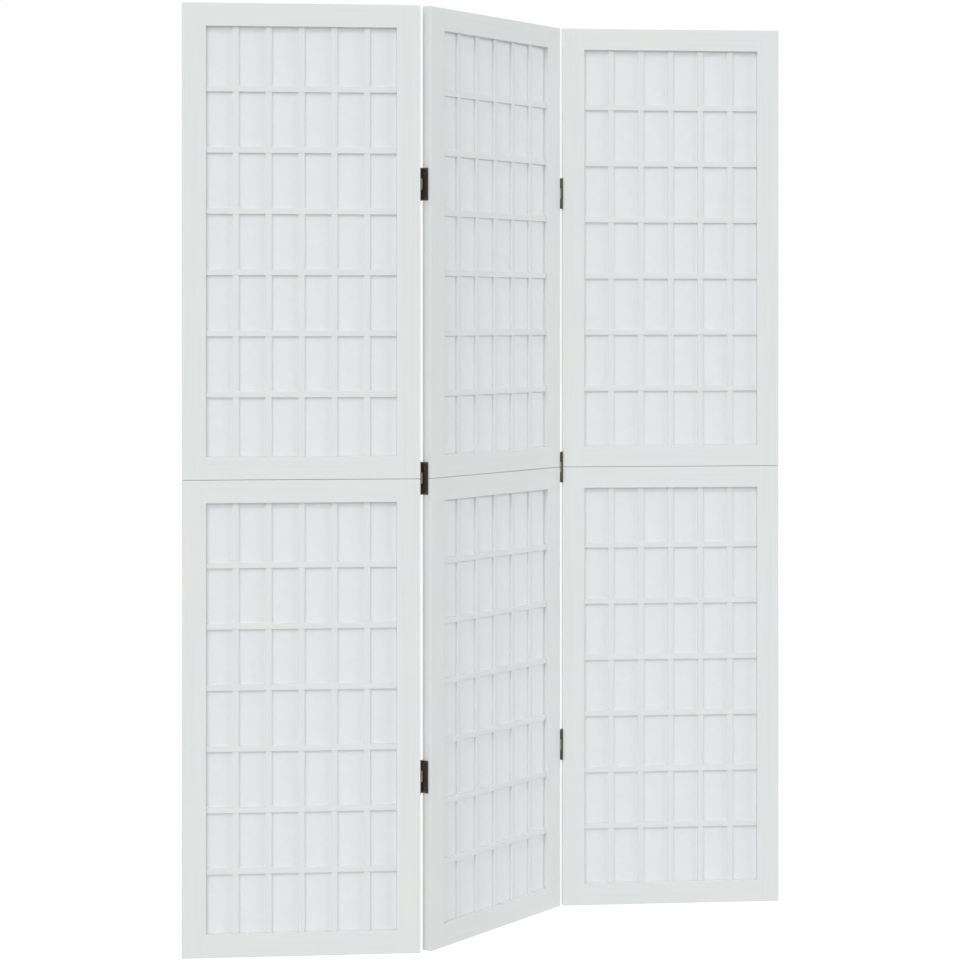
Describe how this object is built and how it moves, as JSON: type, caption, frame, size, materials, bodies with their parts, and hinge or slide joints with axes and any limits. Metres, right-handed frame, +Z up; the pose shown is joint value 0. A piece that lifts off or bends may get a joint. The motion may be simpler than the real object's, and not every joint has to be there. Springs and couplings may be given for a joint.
{
  "type": "folding screen",
  "caption": "Folding room divider: white-painted wooden panels with paper behind a half-lapped lattice, hinged edge to edge so that they stand by themselves in a zigzag.",
  "frame": {"origin": "on the floor under the middle of the middle panel, which is the bottom centre of the bounding box", "axes": "+Z up; +X from the left panel to the right panel, along both of them as they stand; +Y away from the viewer of the lattice side"},
  "size_m": [1.2182, 0.374, 1.8],
  "materials": {
    "painted_wood": "white satin paint over smooth softwood",
    "paper": "white fibrous paper, matt, a little translucent",
    "bare_wood": "bare softwood, inside the joint",
    "hinge_bronze": "dark bronze lacquer on pressed steel",
    "screw_bronze": "dark bronze lacquer on steel wood screws"
  },
  "bodies": {
    "middle_panel": {"middle_panel_lower_left_stile": "painted_wood", "middle_panel_lower_right_stile": "painted_wood", "middle_panel_lower_bottom_rail": "painted_wood", "middle_panel_lower_top_rail": "painted_wood", "middle_panel_lower_paper": "paper", "middle_panel_lower_lattice": "painted_wood", "middle_panel_lower_backing_grid": "painted_wood", "middle_panel_upper_left_stile": "painted_wood", "middle_panel_upper_right_stile": "painted_wood", "middle_panel_upper_bottom_rail": "painted_wood", "middle_panel_upper_top_rail": "painted_wood", "middle_panel_upper_paper": "paper", "middle_panel_upper_lattice": "painted_wood", "middle_panel_upper_backing_grid": "painted_wood", "middle_panel_seam_tongues": "bare_wood", "left_fold_middle_panel_leaves": "hinge_bronze", "left_fold_hinge_pins": "hinge_bronze", "left_fold_middle_panel_screws": "screw_bronze", "right_fold_middle_panel_leaves": "hinge_bronze", "right_fold_hinge_pins": "hinge_bronze", "right_fold_middle_panel_screws": "screw_bronze"},
    "left_panel": {"left_panel_lower_left_stile": "painted_wood", "left_panel_lower_right_stile": "painted_wood", "left_panel_lower_bottom_rail": "painted_wood", "left_panel_lower_top_rail": "painted_wood", "left_panel_lower_paper": "paper", "left_panel_lower_lattice": "painted_wood", "left_panel_lower_backing_grid": "painted_wood", "left_panel_upper_left_stile": "painted_wood", "left_panel_upper_right_stile": "painted_wood", "left_panel_upper_bottom_rail": "painted_wood", "left_panel_upper_top_rail": "painted_wood", "left_panel_upper_paper": "paper", "left_panel_upper_lattice": "painted_wood", "left_panel_upper_backing_grid": "painted_wood", "left_panel_seam_tongues": "bare_wood", "left_fold_outer_panel_leaves": "hinge_bronze", "left_fold_outer_panel_screws": "screw_bronze"},
    "right_panel": {"right_panel_lower_left_stile": "painted_wood", "right_panel_lower_right_stile": "painted_wood", "right_panel_lower_bottom_rail": "painted_wood", "right_panel_lower_top_rail": "painted_wood", "right_panel_lower_paper": "paper", "right_panel_lower_lattice": "painted_wood", "right_panel_lower_backing_grid": "painted_wood", "right_panel_upper_left_stile": "painted_wood", "right_panel_upper_right_stile": "painted_wood", "right_panel_upper_bottom_rail": "painted_wood", "right_panel_upper_top_rail": "painted_wood", "right_panel_upper_paper": "paper", "right_panel_upper_lattice": "painted_wood", "right_panel_upper_backing_grid": "painted_wood", "right_panel_seam_tongues": "bare_wood", "right_fold_outer_panel_leaves": "hinge_bronze", "right_fold_outer_panel_screws": "screw_bronze"}
  },
  "joints": [
    {"name": "left_fold", "type": "hinge", "parent": "middle_panel", "child": "left_panel", "pos_m": [-0.157, -0.1645, 0.9], "axis": [0, 0, -1], "range_deg": [-49.5, 130.5]},
    {"name": "right_fold", "type": "hinge", "parent": "middle_panel", "child": "right_panel", "pos_m": [0.157, 0.1645, 0.9], "axis": [0, 0, -1], "range_deg": [-49.5, 130.5]}
  ]
}
